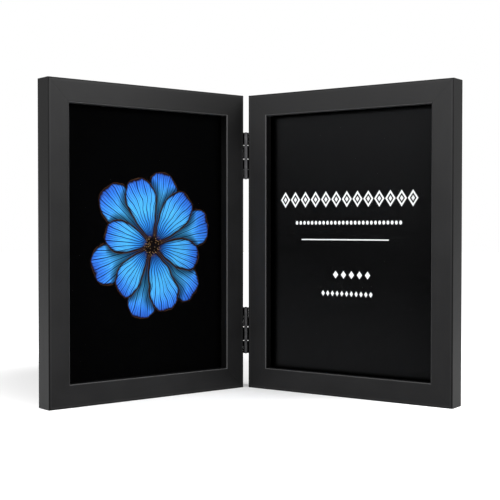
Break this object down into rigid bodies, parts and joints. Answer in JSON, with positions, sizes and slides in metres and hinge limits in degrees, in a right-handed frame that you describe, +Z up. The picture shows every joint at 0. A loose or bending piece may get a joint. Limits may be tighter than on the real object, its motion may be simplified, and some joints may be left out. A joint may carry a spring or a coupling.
{
  "type": "double photo frame",
  "caption": "Book-style double picture frame: glazed frames with mitred rails, joined at their side edges by barrel hinges and standing open, with prints and turn-buttoned backing boards.",
  "frame": {"origin": "middle of the footprint of the open pair, on the surface that the bottom rails stand on", "axes": "+X to the viewer's right across both frames, +Y from the open front towards the hinges and the back, +Z up along the hinge pins"},
  "size_m": [0.2622, 0.102, 0.2028],
  "materials": {
    "frame_paint": "satin near-black lacquer on wood",
    "glazing": "clear flat picture glass",
    "print": "matt printed photo paper, mostly black",
    "backing": "dark faced hardboard",
    "hinge_steel": "gloss black plated steel",
    "bright_steel": "zinc-plated steel"
  },
  "bodies": {
    "left_frame": {"left_rail_top": "frame_paint", "left_rail_bottom": "frame_paint", "left_stile_outer": "frame_paint", "left_stile_hinge": "frame_paint", "left_glass": "glazing", "left_print": "print", "left_backing_board": "backing", "left_corner_nail_top_outer": "bright_steel", "left_corner_nail_top_hinge": "bright_steel", "left_corner_nail_bottom_outer": "bright_steel", "left_corner_nail_bottom_hinge": "bright_steel", "left_button_screw_outer_upper": "bright_steel", "left_button_screw_outer_lower": "bright_steel", "left_button_screw_hinge_upper": "bright_steel", "left_button_screw_hinge_lower": "bright_steel", "upper_hinge_plate_left": "hinge_steel", "upper_hinge_pin": "hinge_steel", "upper_hinge_screw_left_upper": "hinge_steel", "upper_hinge_screw_left_lower": "hinge_steel", "lower_hinge_plate_left": "hinge_steel", "lower_hinge_pin": "hinge_steel", "lower_hinge_screw_left_upper": "hinge_steel", "lower_hinge_screw_left_lower": "hinge_steel"},
    "right_frame": {"right_rail_top": "frame_paint", "right_rail_bottom": "frame_paint", "right_stile_outer": "frame_paint", "right_stile_hinge": "frame_paint", "right_glass": "glazing", "right_print": "print", "right_backing_board": "backing", "right_corner_nail_top_outer": "bright_steel", "right_corner_nail_top_hinge": "bright_steel", "right_corner_nail_bottom_outer": "bright_steel", "right_corner_nail_bottom_hinge": "bright_steel", "right_button_screw_outer_upper": "bright_steel", "right_button_screw_outer_lower": "bright_steel", "right_button_screw_hinge_upper": "bright_steel", "right_button_screw_hinge_lower": "bright_steel", "upper_hinge_plate_right": "hinge_steel", "upper_hinge_screw_right_upper": "hinge_steel", "upper_hinge_screw_right_lower": "hinge_steel", "lower_hinge_plate_right": "hinge_steel", "lower_hinge_screw_right_upper": "hinge_steel", "lower_hinge_screw_right_lower": "hinge_steel"},
    "left_button_outer_upper": {"left_turn_button_outer_upper": "bright_steel"},
    "left_button_outer_lower": {"left_turn_button_outer_lower": "bright_steel"},
    "left_button_hinge_upper": {"left_turn_button_hinge_upper": "bright_steel"},
    "left_button_hinge_lower": {"left_turn_button_hinge_lower": "bright_steel"},
    "right_button_outer_upper": {"right_turn_button_outer_upper": "bright_steel"},
    "right_button_outer_lower": {"right_turn_button_outer_lower": "bright_steel"},
    "right_button_hinge_upper": {"right_turn_button_hinge_upper": "bright_steel"},
    "right_button_hinge_lower": {"right_turn_button_hinge_lower": "bright_steel"}
  },
  "joints": [
    {"name": "fold", "type": "hinge", "parent": "left_frame", "child": "right_frame", "pos_m": [0, 0.04118, 0], "axis": [0, 0, 1], "range_deg": [-106, 80]},
    {"name": "left_turn_outer_upper", "type": "hinge", "parent": "left_frame", "child": "left_button_outer_upper", "pos_m": [-0.12513, -0.03852, 0.1364], "axis": [-0.6018, 0.7986, 0], "range_deg": [-90, 90]},
    {"name": "left_turn_outer_lower", "type": "hinge", "parent": "left_frame", "child": "left_button_outer_lower", "pos_m": [-0.12513, -0.03852, 0.0664], "axis": [-0.6018, 0.7986, 0], "range_deg": [-90, 90]},
    {"name": "left_turn_hinge_upper", "type": "hinge", "parent": "left_frame", "child": "left_button_hinge_upper", "pos_m": [-0.01332, 0.04573, 0.1364], "axis": [-0.6018, 0.7986, 0], "range_deg": [-90, 90]},
    {"name": "left_turn_hinge_lower", "type": "hinge", "parent": "left_frame", "child": "left_button_hinge_lower", "pos_m": [-0.01332, 0.04573, 0.0664], "axis": [-0.6018, 0.7986, 0], "range_deg": [-90, 90]},
    {"name": "right_turn_outer_upper", "type": "hinge", "parent": "right_frame", "child": "right_button_outer_upper", "pos_m": [0.12513, -0.03852, 0.1364], "axis": [0.6018, 0.7986, 0], "range_deg": [-90, 90]},
    {"name": "right_turn_outer_lower", "type": "hinge", "parent": "right_frame", "child": "right_button_outer_lower", "pos_m": [0.12513, -0.03852, 0.0664], "axis": [0.6018, 0.7986, 0], "range_deg": [-90, 90]},
    {"name": "right_turn_hinge_upper", "type": "hinge", "parent": "right_frame", "child": "right_button_hinge_upper", "pos_m": [0.01332, 0.04573, 0.1364], "axis": [0.6018, 0.7986, 0], "range_deg": [-90, 90]},
    {"name": "right_turn_hinge_lower", "type": "hinge", "parent": "right_frame", "child": "right_button_hinge_lower", "pos_m": [0.01332, 0.04573, 0.0664], "axis": [0.6018, 0.7986, 0], "range_deg": [-90, 90]}
  ]
}
